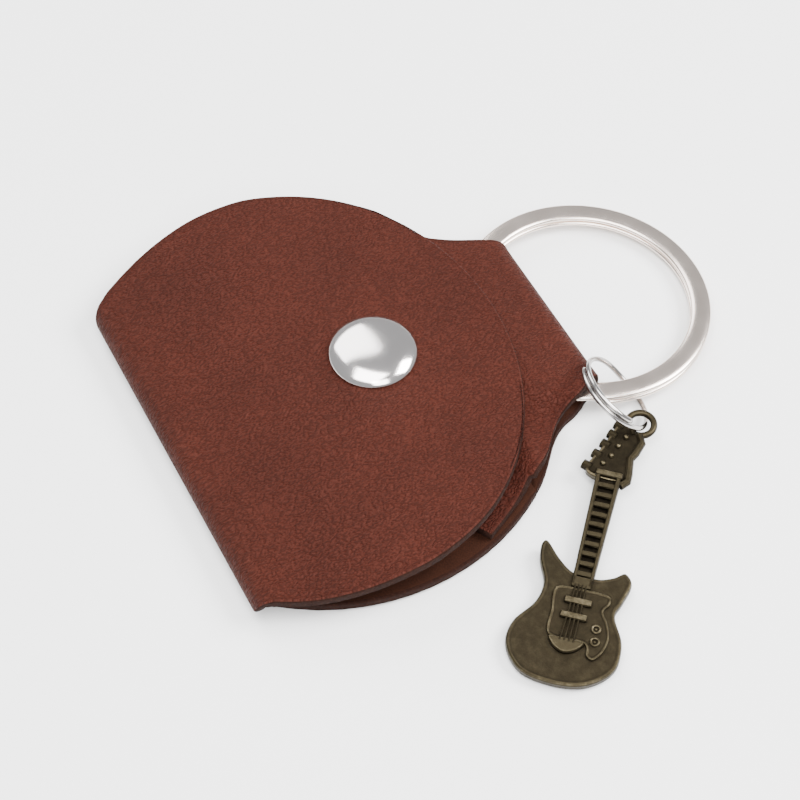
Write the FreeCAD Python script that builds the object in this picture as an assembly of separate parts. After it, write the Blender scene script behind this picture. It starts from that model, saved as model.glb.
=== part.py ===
import FreeCAD, Part
import math
import os

# Leather guitar-pick holder on a key ring, in millimetres.
# It lies on its back: +Z is up out of the snap cap, +Y runs from the left fold towards the key ring,
# +X is along the fold. The origin is the middle of the back panel's round lobe, on its underside.

V = FreeCAD.Vector
UP = V(0, 0, 1)

# leather
LEATHER = 1.6
FOLD_APEX_Y = -21.5
FOLD_HEIGHT = 4.8
FOLD_LEFT_X, FOLD_RIGHT_X = -25.6, 26.0
FLAP_HALF_WIDTH = 32.3
FLAP_CENTRE_Y = -1.5
FLAP_TIP_LENGTH = 28.0
BACK_RADIUS = 31.3
BACK_CENTRE = V(1.0, 1.0, 0)
SNAP_X, SNAP_Y = 0.7, 8.4
FLAP_SNAP_Z = 6.25
FLAP_TIP_Z = 6.4
SEAT_GAP = 0.08

# key-ring tab, folded round the ring
TAB_CENTRE_X = 2.7
TAB_APEX_Y = 35.0
TAB_INNER_RADIUS = 1.1
TAB_HALF_END, TAB_HALF_ROOT = 13.0, 16.8
TAB_ROOT_Y = 26.0
TAB_RISE_DEG = 4.9
NECK_Y0, NECK_Y1 = 19.0, 22.6
TONGUE_END_Y = 0.5
TONGUE_CORNER = V(30.0, 9.5, 0)
TONGUE_INSET = 0.5

# snap fastener, size 20 (12 mm cap)
CAP_RADIUS, CAP_HEIGHT, CAP_SHEET = 6.0, 1.5, 0.35
POST_RADIUS, POST_BORE = 1.5, 1.0
POST_HOLE = 1.6
SOCKET_RADIUS, SOCKET_HEIGHT, SOCKET_SHEET = 4.9, 2.2, 0.4
SOCKET_MOUTH = 2.15
STUD_FLANGE_RADIUS, STUD_FLANGE = 4.8, 0.5
STUD_NECK, STUD_HEAD, STUD_HEIGHT = 1.65, 1.9, 2.0
RIVET_FLANGE_RADIUS, RIVET_FLANGE = 4.2, 0.4
SPRING_WIRE = 0.22

# key ring: flat wire, two coils
RING_RADIUS = 17.5
RING_WIDTH = 2.8
RING_THICK = 1.9
RING_COIL_GAP = 0.06
RING_CENTRE = V(3.0, 40.5, 2.25)
RING_SLOPE = 0.074
RING_EDGE = 0.4
RING_JOG_DEG = (-46.0, -22.0)
RING_CLEAR = 0.22

# small split ring: round wire
LINK_COIL_RADIUS = 5.65
LINK_WIRE = 0.31
LINK_PITCH = 0.66
LINK_CENTRE = V(19.8, 35.25, 4.5)
LINK_NORMAL = V(0.07, 0.68, 0.73)
LINK_LOWER_DEG = (225.0, 489.0)
LINK_UPPER_DEG = (519.0, 657.0)

# guitar charm, face up: its body rests on the table and its eyelet hangs on the small ring
CHARM_EYE = V(24.3, 36.35, 2.25)
CHARM_TURN_DEG = -43.3
CHARM_EYE_OFFSET = 2.4
CHARM_THICK = 1.6
CHARM_NECK_TOP = 1.9
CHARM_LENGTH = 40.1
EYE_RADIUS, EYE_WIRE = 1.8, 0.48


def export(name, shape):
    """Write one node, after checking that every solid in it is sound."""
    if not shape.isValid() or not shape.Solids:
        raise RuntimeError(name + " is not a sound solid")
    shape.exportStep("parts/" + name + ".step")
    box = shape.BoundBox
    print(
        "%-18s %d solid(s) %9.2f mm3  z %6.2f..%5.2f"
        % (name, len(shape.Solids), shape.Volume, box.ZMin, box.ZMax)
    )


# ---------------------------------------------------------------- shared shapes
def arc(centre, radius, start_deg, end_deg):
    """Arc in a horizontal plane, counter-clockwise from start to end."""
    circle = Part.Circle(centre, UP, radius)
    return Part.Arc(circle, math.radians(start_deg), math.radians(end_deg)).toShape()


def line(a, b):
    return Part.LineSegment(a, b).toShape()


def prism(wire, bottom, top):
    """Vertical prism over a closed plan outline."""
    face = Part.Face(wire)
    face.translate(V(0, 0, bottom))
    return face.extrude(V(0, 0, top - bottom))


def cylinder(radius, bottom, top, x=SNAP_X, y=SNAP_Y):
    return Part.makeCylinder(radius, top - bottom, V(x, y, bottom))


def turned(profile):
    """Solid of revolution about the snap's vertical axis, from (radius, z) corners."""
    points = [V(r, 0, z) for r, z in profile]
    face = Part.Face(Part.makePolygon(points + points[:1]))
    solid = face.revolve(V(0, 0, 0), UP, 360)
    solid.translate(V(SNAP_X, SNAP_Y, 0))
    return solid


def side_band(stations, thickness):
    """Leather seen from the side: a band of even thickness about a smooth line of (y, z) stations."""
    middle = Part.BSplineCurve()
    middle.interpolate([V(0, y, z) for y, z in stations])
    steps = 4 * len(stations)
    first, last = middle.FirstParameter, middle.LastParameter
    edges = {1: [], -1: []}
    for i in range(steps + 1):
        t = first + (last - first) * i / steps
        point, tangent = middle.value(t), middle.tangent(t)[0]
        normal = V(0, -tangent.z, tangent.y)
        for side in edges:
            edges[side].append(point + normal * (side * thickness / 2))
    curves = {}
    for side, points in edges.items():
        curve = Part.BSplineCurve()
        curve.interpolate(points)
        curves[side] = curve.toShape()
    ends = [line(edges[1][k], edges[-1][k]) for k in (0, -1)]
    wire = Part.Wire(Part.__sortEdges__([curves[1], curves[-1]] + ends))
    return Part.Face(wire)


def swept_across(face, x0=-40.0, x1=40.0):
    face = face.copy()
    face.translate(V(x0, 0, 0))
    return face.extrude(V(x1 - x0, 0, 0))


def snap_hole(shape, radius=POST_HOLE):
    return shape.cut(cylinder(radius, -1, 12))


# ---------------------------------------------------------------- leather outlines
def flap_outline():
    """Plan of the closing flap: round beside the fold, half an ellipse towards the key ring."""
    centre = V(0, FLAP_CENTRE_Y, 0)
    start_y = FOLD_APEX_Y + FOLD_HEIGHT / 2
    drop = FLAP_CENTRE_Y - start_y
    half = math.sqrt(FLAP_HALF_WIDTH**2 - drop**2)
    angle = math.degrees(math.asin(drop / FLAP_HALF_WIDTH))
    near = arc(centre, FLAP_HALF_WIDTH, -angle, 0)
    far = arc(centre, FLAP_HALF_WIDTH, 180, 180 + angle)
    oval = Part.Ellipse(centre, FLAP_HALF_WIDTH, FLAP_TIP_LENGTH)
    tip = Part.Arc(oval, 0, math.pi).toShape()
    base = line(V(-half, start_y, 0), V(half, start_y, 0))
    return Part.Wire(Part.__sortEdges__([near, tip, far, base]))


def lobe_outline(inset=0.0):
    """Plan of the back panel's lobe, cut straight where it meets the left fold."""
    radius = BACK_RADIUS - inset
    start_y = FOLD_APEX_Y + FOLD_HEIGHT / 2
    drop = BACK_CENTRE.y - start_y
    half = math.sqrt(radius**2 - drop**2)
    angle = math.degrees(math.asin(drop / radius))
    round_edge = arc(BACK_CENTRE, radius, -angle, 180 + angle)
    base = line(V(BACK_CENTRE.x - half, start_y, 0), V(BACK_CENTRE.x + half, start_y, 0))
    return Part.Wire(Part.__sortEdges__([round_edge, base]))


def tab_outline():
    """Plan of the key-ring tab, narrower at its folded end."""
    end, root = TAB_HALF_END, TAB_HALF_ROOT
    corners = [
        V(TAB_CENTRE_X - end, TAB_APEX_Y + 1, 0),
        V(TAB_CENTRE_X + end, TAB_APEX_Y + 1, 0),
        V(TAB_CENTRE_X + root, TAB_ROOT_Y, 0),
        V(TAB_CENTRE_X + root, BACK_CENTRE.y, 0),
        V(TAB_CENTRE_X - root, BACK_CENTRE.y, 0),
        V(TAB_CENTRE_X - root, TAB_ROOT_Y, 0),
    ]
    return Part.makePolygon(corners + corners[:1])


def tongue_outline():
    """Plan of the tongue's end: a shallow curve that runs under the stud."""
    left = V(2 * BACK_CENTRE.x - TONGUE_CORNER.x, TONGUE_CORNER.y, 0)
    bottom = Part.Arc(left, V(SNAP_X, TONGUE_END_Y, 0), TONGUE_CORNER).toShape()
    top = TAB_APEX_Y + 5
    outer_left, outer_right = V(-40, TONGUE_CORNER.y, 0), V(40, TONGUE_CORNER.y, 0)
    edges = [
        bottom,
        line(left, outer_left),
        line(outer_left, V(-40, top, 0)),
        line(V(-40, top, 0), V(40, top, 0)),
        line(V(40, top, 0), outer_right),
        line(outer_right, TONGUE_CORNER),
    ]
    return Part.Wire(Part.__sortEdges__(edges))


def between(y0, y1):
    return Part.makeBox(90, y1 - y0, 14, V(-45, y0, -1))


def lobe_and_tab(inset=0.0):
    """Prism that bounds both layers of the back half."""
    return prism(lobe_outline(inset), -1, 12).fuse(prism(tab_outline(), -1, 12))


# ---------------------------------------------------------------- leather solids
def ring_space():
    """Room that the key ring takes as it turns in the tab."""
    outer = RING_RADIUS + RING_CLEAR
    inner = RING_RADIUS - RING_WIDTH - RING_CLEAR
    height = RING_THICK + 2 * RING_CLEAR
    space = Part.makeCylinder(outer, height, V(0, 0, -height / 2))
    space = space.cut(Part.makeCylinder(inner, height + 2, V(0, 0, -height / 2 - 1)))
    return to_ring_place(space)


def back_panel():
    panel = prism(lobe_outline(), 0, LEATHER).common(between(FOLD_APEX_Y, NECK_Y0))
    panel = panel.cut(cylinder(RIVET_FLANGE_RADIUS, -1, RIVET_FLANGE))
    return snap_hole(panel)


def neck_under():
    bound = lobe_and_tab().common(between(NECK_Y0, NECK_Y1))
    return bound.common(Part.makeBox(90, 90, LEATHER, V(-45, -45, 0)))


def fold_spine():
    """Left fold: a half-round bend that joins the back panel to the flap."""
    outer = FOLD_HEIGHT / 2
    inner = outer - LEATHER
    y = FOLD_APEX_Y + outer
    edges = []
    for radius in (outer, inner):
        bottom, apex = V(0, y, outer - radius), V(0, y - radius, outer)
        edges.append(Part.Arc(bottom, apex, V(0, y, outer + radius)).toShape())
    edges.append(line(V(0, y, 0), V(0, y, LEATHER)))
    edges.append(line(V(0, y, FOLD_HEIGHT), V(0, y, FOLD_HEIGHT - LEATHER)))
    face = Part.Face(Part.Wire(Part.__sortEdges__(edges)))
    return swept_across(face, FOLD_LEFT_X, FOLD_RIGHT_X)


def flap_panel():
    """Closing flap: rises from the fold to the snap, then lies over the tongue."""
    half = LEATHER / 2
    start = FOLD_APEX_Y + FOLD_HEIGHT / 2
    stations = [
        (start, FOLD_HEIGHT - half),
        (start + 4, FOLD_HEIGHT - half + 0.35),
        (SNAP_Y - 12, FLAP_SNAP_Z + half - 0.75),
        (SNAP_Y - 7, FLAP_SNAP_Z + half - 0.25),
        (SNAP_Y - 5, FLAP_SNAP_Z + half),
        (SNAP_Y - 2, FLAP_SNAP_Z + half),
        (SNAP_Y + 2, FLAP_SNAP_Z + half),
        (SNAP_Y + 5, FLAP_SNAP_Z + half),
        (FLAP_CENTRE_Y + FLAP_TIP_LENGTH, FLAP_TIP_Z + half),
    ]
    sheet = swept_across(side_band(stations, LEATHER))
    return snap_hole(sheet.common(prism(flap_outline(), -1, 12)))


def tab_bend():
    """Centre of the tab's folded end, and the angles where its upper layer leaves the bend."""
    outer = TAB_INNER_RADIUS + LEATHER
    rise = math.radians(TAB_RISE_DEG)
    return V(0, TAB_APEX_Y - outer, outer), outer, rise


def ring_loop():
    """Both layers of the tab and the bend that closes them round the key ring."""
    centre, outer, rise = tab_bend()
    edges = []
    ends = []
    for radius in (outer, TAB_INNER_RADIUS):
        bottom = centre - V(0, 0, radius)
        apex = centre + V(0, radius, 0)
        leave = centre + V(0, math.sin(rise), math.cos(rise)) * radius
        edges.append(Part.Arc(bottom, apex, leave).toShape())
        run = (leave.y - NECK_Y1) / math.cos(rise)
        upper = leave + V(0, -math.cos(rise), math.sin(rise)) * run
        lower = V(0, NECK_Y1, bottom.z)
        edges += [line(bottom, lower), line(leave, upper)]
        ends.append((lower, upper))
    (outer_low, outer_up), (inner_low, inner_up) = ends
    edges += [line(outer_low, inner_low), line(outer_up, inner_up)]
    face = Part.Face(Part.Wire(Part.__sortEdges__(edges)))
    loop = swept_across(face).common(lobe_and_tab())
    return loop.cut(ring_space())


def tongue_height():
    """Middle height of the tab's upper layer at the neck."""
    centre, outer, rise = tab_bend()
    leave = centre + V(0, math.sin(rise), math.cos(rise)) * (outer - LEATHER / 2)
    return leave.z + (leave.y - NECK_Y1) * math.tan(rise)


def tongue_sheet():
    """Side view of the tongue, from the tab's upper layer down to the back panel."""
    top = tongue_height()
    low = LEATHER * 1.5 + SEAT_GAP / 2
    stations = [
        (NECK_Y1, top),
        (NECK_Y1 - 1.3, top - 0.15),
        (NECK_Y0, (top + low) / 2 + 0.35),
        (SNAP_Y + 8.2, low + 0.45),
        (SNAP_Y + 6.4, low + 0.06),
        (SNAP_Y + 4.9, low),
        (SNAP_Y, low),
        (TONGUE_END_Y, low),
    ]
    return swept_across(side_band(stations, LEATHER - SEAT_GAP))


def tongue():
    bound = lobe_and_tab(TONGUE_INSET).common(prism(tongue_outline(), -1, 12))
    whole = tongue_sheet().common(bound)
    return snap_hole(whole.common(between(-10, NECK_Y0)))


def neck_over():
    whole = tongue_sheet().common(lobe_and_tab(TONGUE_INSET))
    return whole.common(between(NECK_Y0, NECK_Y1))


# ---------------------------------------------------------------- snap fastener
def snap_cap():
    """Domed cap shell on the flap's grain side, with a rolled rim."""
    base = FLAP_SNAP_Z + LEATHER + SEAT_GAP
    radius = (CAP_RADIUS**2 + CAP_HEIGHT**2) / (2 * CAP_HEIGHT)
    centre = V(SNAP_X, SNAP_Y, base + CAP_HEIGHT - radius)
    above = cylinder(CAP_RADIUS, base, base + CAP_HEIGHT + 1)
    dome = Part.makeSphere(radius, centre).common(above)
    hollow = Part.makeSphere(radius - CAP_SHEET, centre)
    hollow = hollow.common(cylinder(CAP_RADIUS - CAP_SHEET, base - 1, base + 3))
    shell = dome.cut(hollow)
    rim = turned(
        [
            (CAP_RADIUS - 0.75, base),
            (CAP_RADIUS, base),
            (CAP_RADIUS, base + 0.3),
            (CAP_RADIUS - 0.75, base + 0.3),
        ]
    )
    return shell.fuse(rim).removeSplitter()


def snap_cap_post():
    """Hollow rivet: a washer inside the cap, a tube through the flap, its end flared in the socket."""
    base = FLAP_SNAP_Z + LEATHER
    end = FLAP_SNAP_Z - SEAT_GAP - SOCKET_SHEET
    return turned(
        [
            (POST_BORE, base + 0.35),
            (2.6, base + 0.35),
            (3.6, base + 0.04),
            (POST_RADIUS, base + 0.04),
            (POST_RADIUS, end - 0.02),
            (POST_RADIUS + 0.8, end - 0.02),
            (POST_RADIUS + 0.8, end - 0.27),
            (POST_BORE, end - 0.27),
        ]
    )


def snap_socket():
    """Socket: a flat ring on the flap's flesh side with a rolled wall and an open mouth below."""
    top = FLAP_SNAP_Z - SEAT_GAP
    bottom = top - SOCKET_HEIGHT
    sheet = SOCKET_SHEET
    return turned(
        [
            (POST_HOLE, top),
            (SOCKET_RADIUS, top),
            (SOCKET_RADIUS, bottom),
            (SOCKET_MOUTH, bottom),
            (SOCKET_MOUTH, bottom + sheet),
            (SOCKET_RADIUS - sheet, bottom + sheet),
            (SOCKET_RADIUS - sheet, top - sheet),
            (POST_HOLE, top - sheet),
        ]
    )


def snap_spring():
    """Spring ring loose in the socket. It grips behind the stud's head."""
    bottom = FLAP_SNAP_Z - SOCKET_HEIGHT + SOCKET_SHEET
    ring = Part.makeTorus(STUD_HEAD + SPRING_WIRE + 0.1, SPRING_WIRE)
    ring.translate(V(SNAP_X, SNAP_Y, bottom + SPRING_WIRE + 0.05))
    return ring


def snap_stud():
    """Stud: a flange on the tongue and a hollow boss with a bulged head."""
    base = 2 * LEATHER + SEAT_GAP
    top = base + STUD_HEIGHT
    return turned(
        [
            (POST_HOLE - 0.05, base),
            (STUD_FLANGE_RADIUS, base),
            (STUD_FLANGE_RADIUS, base + STUD_FLANGE),
            (STUD_NECK + 0.1, base + STUD_FLANGE),
            (STUD_NECK + 0.1, top - 0.75),
            (STUD_HEAD, top - 0.5),
            (STUD_HEAD, top - 0.25),
            (STUD_HEAD - 0.2, top),
            (1.1, top),
            (1.1, base + 0.85),
            (POST_HOLE - 0.05, base + 0.85),
        ]
    )


def snap_back_rivet():
    """Back rivet: a flange let into the back panel and a tube up through both layers of leather."""
    top = 2 * LEATHER + 0.8
    return turned(
        [
            (0.0, 0.0),
            (RIVET_FLANGE_RADIUS - 0.1, 0.0),
            (RIVET_FLANGE_RADIUS - 0.1, RIVET_FLANGE),
            (POST_RADIUS, RIVET_FLANGE),
            (POST_RADIUS, top),
            (POST_BORE, top),
            (POST_BORE, RIVET_FLANGE),
            (0.0, RIVET_FLANGE),
        ]
    )


# ---------------------------------------------------------------- rings
def to_ring_place(shape):
    """From the ring's own plane to where the key ring lies, its far side on the table."""
    shape = shape.copy()
    shape.rotate(V(0, 0, 0), V(1, 0, 0), -math.degrees(math.atan(RING_SLOPE)))
    shape.translate(RING_CENTRE)
    return shape


def wire_section(angle_deg, level):
    """Rounded flat section of the key ring's wire, at one angle and height."""
    half_w, half_t = RING_WIDTH / 2, (RING_THICK - RING_COIL_GAP) / 4
    mid = RING_RADIUS - half_w
    edge = RING_EDGE
    corners = [
        (half_w, half_t - edge),
        (half_w - edge, half_t),
        (-half_w + edge, half_t),
        (-half_w, half_t - edge),
        (-half_w, -half_t + edge),
        (-half_w + edge, -half_t),
        (half_w - edge, -half_t),
        (half_w, -half_t + edge),
    ]
    points = [V(mid + a, 0, level + b) for a, b in corners]
    wire = Part.makePolygon(points + points[:1])
    wire.rotate(V(0, 0, 0), UP, angle_deg)
    return wire


def link_section(angle_deg, level):
    """Round section of the small ring's wire, at one angle and height."""
    circle = Part.Circle(V(LINK_COIL_RADIUS, 0, level), V(0, 1, 0), LINK_WIRE)
    wire = Part.Wire([circle.toShape()])
    wire.rotate(V(0, 0, 0), UP, angle_deg)
    return wire


def coil(section, start_deg, end_deg, level):
    face = Part.Face(section(start_deg, level))
    return face.revolve(V(0, 0, 0), UP, end_deg - start_deg)


def step(section, start_deg, end_deg, half):
    """Short slope that takes the wire from the lower coil up to the upper one."""
    sections = []
    for i in range(7):
        share = i / 6
        smooth = share * share * (3 - 2 * share)
        angle = start_deg + (end_deg - start_deg) * share
        sections.append(section(angle, -half + 2 * half * smooth))
    return Part.makeLoft(sections, True, True)


def key_ring():
    """Split ring: a lower and an upper coil joined by one sloping step."""
    half = (RING_THICK + RING_COIL_GAP) / 4
    step_start, step_end = RING_JOG_DEG
    gap_deg = 1.0
    lower = coil(wire_section, step_end + gap_deg, step_start + 360, -half)
    upper = coil(wire_section, step_end, step_start + 360 - gap_deg, half)
    slope = step(wire_section, step_start, step_end, half)
    return to_ring_place(lower.fuse([slope, upper]))


def link_ring():
    """Small split ring: round wire in a little over one turn, with a step between its coils."""
    half = LINK_PITCH / 2
    lower = coil(link_section, *LINK_LOWER_DEG, -half)
    upper = coil(link_section, *LINK_UPPER_DEG, half)
    slope = step(link_section, LINK_LOWER_DEG[1], LINK_UPPER_DEG[0], half)
    shape = lower.fuse([slope, upper])
    turn = FreeCAD.Rotation(UP, LINK_NORMAL)
    shape.rotate(V(0, 0, 0), turn.Axis, math.degrees(turn.Angle))
    shape.translate(LINK_CENTRE)
    return shape


# ---------------------------------------------------------------- guitar charm
def smooth_outline(points):
    curve = Part.BSplineCurve()
    curve.interpolate([V(x, y, 0) for x, y in points], True)
    return Part.Wire([curve.toShape()])


def guitar_charm():
    """One casting: body with two horns, neck, headstock and an eyelet. x runs from head to body."""
    body = prism(
        smooth_outline(
            [
                (20.7, -5.4),
                (22.6, -3.6),
                (24.2, -1.6),
                (24.4, 0.0),
                (24.5, 2.0),
                (23.8, 3.8),
                (22.8, 5.2),
                (24.2, 6.3),
                (27.0, 5.7),
                (29.2, 5.2),
                (32.6, 6.8),
                (36.4, 6.7),
                (39.2, 3.9),
                (40.1, 0.0),
                (39.4, -4.6),
                (36.4, -7.2),
                (33.0, -7.1),
                (29.6, -5.0),
                (26.6, -4.6),
                (23.6, -5.8),
                (21.3, -6.1),
            ]
        ),
        0,
        CHARM_THICK,
    )
    neck = Part.makeBox(17.0, 3.2, CHARM_NECK_TOP, V(9.0, -1.6, 0))
    head = prism(
        smooth_outline(
            [
                (9.8, -1.6),
                (8.6, -3.2),
                (4.8, -1.7),
                (1.4, -0.6),
                (0.6, 0.6),
                (2.2, 2.6),
                (4.0, 3.3),
                (6.2, 2.5),
                (8.6, 2.8),
                (9.8, 1.6),
            ]
        ),
        0,
        CHARM_THICK,
    )
    middle = CHARM_THICK / 2
    eye = Part.makeTorus(EYE_RADIUS, EYE_WIRE, V(0, CHARM_EYE_OFFSET, middle))
    hole = Part.makeCylinder(EYE_RADIUS - EYE_WIRE, 4, V(0, CHARM_EYE_OFFSET, -1))
    charm = body.fuse([neck, head, eye]).cut(hole)
    charm.translate(V(0, -CHARM_EYE_OFFSET, -middle))
    tilt = math.asin((CHARM_EYE.z - middle) / CHARM_LENGTH)
    charm.rotate(V(0, 0, 0), V(0, 1, 0), math.degrees(tilt))
    charm.rotate(V(0, 0, 0), UP, CHARM_TURN_DEG)
    charm.translate(CHARM_EYE)
    return charm


os.makedirs("parts", exist_ok=True)
NODES = {
    "back_panel": back_panel,
    "neck_under": neck_under,
    "neck_over": neck_over,
    "tongue": tongue,
    "fold_spine": fold_spine,
    "flap_panel": flap_panel,
    "ring_loop": ring_loop,
    "snap_cap": snap_cap,
    "snap_cap_post": snap_cap_post,
    "snap_socket": snap_socket,
    "snap_spring": snap_spring,
    "snap_stud": snap_stud,
    "snap_back_rivet": snap_back_rivet,
    "key_ring": key_ring,
    "link_ring": link_ring,
    "guitar_charm": guitar_charm,
}
for name, make in NODES.items():
    export(name, make())
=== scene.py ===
import math

import bpy
import numpy as np
from mathutils import Matrix, Vector
from mathutils.geometry import delaunay_2d_cdt


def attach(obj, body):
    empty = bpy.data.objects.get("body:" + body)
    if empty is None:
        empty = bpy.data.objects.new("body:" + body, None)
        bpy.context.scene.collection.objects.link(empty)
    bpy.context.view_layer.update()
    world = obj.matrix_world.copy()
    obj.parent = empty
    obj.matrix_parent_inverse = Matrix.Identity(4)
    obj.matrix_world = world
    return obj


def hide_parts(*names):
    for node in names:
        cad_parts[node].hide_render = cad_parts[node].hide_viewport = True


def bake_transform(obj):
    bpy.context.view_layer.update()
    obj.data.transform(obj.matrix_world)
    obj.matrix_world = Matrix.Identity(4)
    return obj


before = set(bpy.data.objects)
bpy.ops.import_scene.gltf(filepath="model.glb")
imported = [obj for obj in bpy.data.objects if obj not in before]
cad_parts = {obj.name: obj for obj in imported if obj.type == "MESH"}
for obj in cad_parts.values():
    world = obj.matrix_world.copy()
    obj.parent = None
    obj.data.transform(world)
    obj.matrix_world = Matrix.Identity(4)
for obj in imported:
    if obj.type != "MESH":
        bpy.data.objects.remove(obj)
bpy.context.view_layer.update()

MM = 0.001

# ---------------------------------------------------------------- sizes, in millimetres
LEATHER = 1.6
LEATHER_THINNED = LEATHER - 0.08
EDGE_ROUND = 0.34
EDGE_FUR = 0.05
FLAP_CENTRE_Y, FLAP_RADIUS, FLAP_OVAL_REACH = -1.5, 32.3, 28.0
FLAP_WIDEN_RIGHT = 1.008
FOLD_CENTRE = (-19.1, 2.4)
FOLD_MID_RADIUS = 1.6
FOLD_RIGHT, FOLD_LEFT = 24.95, -22.95
BACK_CENTRE, BACK_RADIUS, BACK_MID_Z = 1.0, 31.3, 0.8
SNAP = (0.7, 8.4)
CAP_BASE = 7.83
TAB_CENTRE = (32.3, 2.7)
TAB_MID_RADIUS = 1.9
TAB_RISE = math.radians(4.9)
TAB_UPPER_Z = 3.2  # middle heights above this belong to the tab's upper layer
TAB_SETTLE = 1.7
TONGUE_RADIUS, TONGUE_START_Y, TONGUE_END_Y = 30.8, 22.6, 9.9
SPLIT_Y = 19.0
RING_CENTRE = (3.0, 40.5, 2.25)
RING_MID, RING_WIDTH, RING_WIRE_THICK, RING_HALF_PITCH = 16.1, 2.8, 0.92, 0.49
RING_TILT = -math.atan(0.074)
LINK_CENTRE = (19.8, 35.25, 4.5)
LINK_NORMAL = Vector((0.07, 0.68, 0.73)).normalized()
LINK_RADIUS, LINK_WIRE, LINK_HALF_PITCH = 5.65, 0.37, 0.38
CHARM_EYE = (24.3, 36.35, 2.25)
CHARM_TURN = math.radians(-43.3)
CHARM_LENGTH = 40.1


# ---------------------------------------------------------------- small helpers
def hermite(xs, ys):
    """Smooth curve through stations, as a function."""
    xs, ys = np.array(xs, float), np.array(ys, float)
    slope = np.gradient(ys, xs)

    def at(x):
        x = np.clip(np.asarray(x, float), xs[0], xs[-1])
        i = np.clip(np.searchsorted(xs, x) - 1, 0, len(xs) - 2)
        step = xs[i + 1] - xs[i]
        t = (x - xs[i]) / step
        a, b = 2 * t**3 - 3 * t**2 + 1, t**3 - 2 * t**2 + t
        c, d = -2 * t**3 + 3 * t**2, t**3 - t**2
        return a * ys[i] + b * step * slope[i] + c * ys[i + 1] + d * step * slope[i + 1]

    return at


def ease(low, high, value):
    """Smooth rise from 0 at low to 1 at high."""
    t = np.clip((np.asarray(value, float) - low) / (high - low), 0, 1)
    return t * t * (3 - 2 * t)


def ripple(a, b, seed):
    """Repeatable roughness in -1..1 from two lengths in millimetres."""
    total = 0
    for k, (p, q) in enumerate(((2.1, 1.7), (4.7, -3.9), (9.3, 8.1), (17.0, -14.3))):
        total = total + np.sin(a * p + b * q + seed * (k + 1.3)) / (1 + 0.5 * k)
    return total / 2.4


def new_object(name, vertices, faces, materials, indices=None, uv=None, smooth=True):
    """Mesh object from millimetres, with a material index and a UV point per face and vertex."""
    mesh = bpy.data.meshes.new(name)
    mesh.from_pydata([tuple(v) for v in np.asarray(vertices) * MM], [], faces)
    for material in materials:
        mesh.materials.append(material)
    if indices is not None:
        mesh.polygons.foreach_set("material_index", indices)
    if uv is not None:
        layer = mesh.uv_layers.new(name="UVMap")
        corners = np.zeros(len(mesh.loops), int)
        mesh.loops.foreach_get("vertex_index", corners)
        layer.data.foreach_set("uv", np.asarray(uv, float)[corners].ravel())
    mesh.polygons.foreach_set("use_smooth", [smooth] * len(mesh.polygons))
    mesh.update()
    obj = bpy.data.objects.new(name, mesh)
    bpy.context.scene.collection.objects.link(obj)
    return obj


# ---------------------------------------------------------------- materials
class Shader:
    """A Principled material with short calls for its nodes."""

    def __init__(self, name, **values):
        self.material = bpy.data.materials.new(name)
        self.material.use_nodes = True
        self.tree = self.material.node_tree
        self.main = self.tree.nodes["Principled BSDF"]
        for key, value in values.items():
            self.main.inputs[key.replace("_", " ")].default_value = value

    def node(self, kind, inputs=None, **settings):
        """A new node; each input is a value or the socket that feeds it."""
        made = self.tree.nodes.new("ShaderNode" + kind)
        for key, value in settings.items():
            setattr(made, key, value)
        for key, value in (inputs or {}).items():
            if isinstance(value, bpy.types.NodeSocket):
                self.tree.links.new(value, made.inputs[key])
            else:
                made.inputs[key].default_value = value
        return made

    def place(self, source, scale):
        coordinates = self.node("TexCoord")
        mapping = self.node("Mapping", {"Vector": coordinates.outputs[source], "Scale": scale})
        return mapping.outputs["Vector"]

    def noise(self, where, scale, detail=3.0, rough=0.55):
        inputs = {"Vector": where, "Scale": scale, "Detail": detail, "Roughness": rough}
        return self.node("TexNoise", inputs).outputs["Fac"]

    def ramp(self, fac, *stops):
        """Colour ramp from (position, grey level or colour) stops."""
        made = self.node("ValToRGB", {"Fac": fac})
        elements = made.color_ramp.elements
        while len(elements) < len(stops):
            elements.new(0.5)
        for element, (position, colour) in zip(elements, stops):
            element.position = position
            element.color = (*colour, 1) if isinstance(colour, tuple) else (colour,) * 3 + (1,)
        return made.outputs["Color"]

    def math(self, operation, a, b=0.0):
        return self.node("Math", {0: a, 1: b}, operation=operation).outputs[0]

    def multiply(self, a, b):
        """One colour times another."""
        made = self.node("Mix", {0: 1.0, 6: a, 7: b}, data_type="RGBA", blend_type="MULTIPLY")
        return made.outputs[2]

    def bump(self, height, distance, strength):
        inputs = {"Height": height, "Distance": distance, "Strength": strength}
        return self.node("Bump", inputs).outputs["Normal"]

    def plug(self, **sockets):
        """Feed the Principled sockets and return the finished material."""
        for key, value in sockets.items():
            self.tree.links.new(value, self.main.inputs[key.replace("_", " ")])
        return self.material


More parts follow.
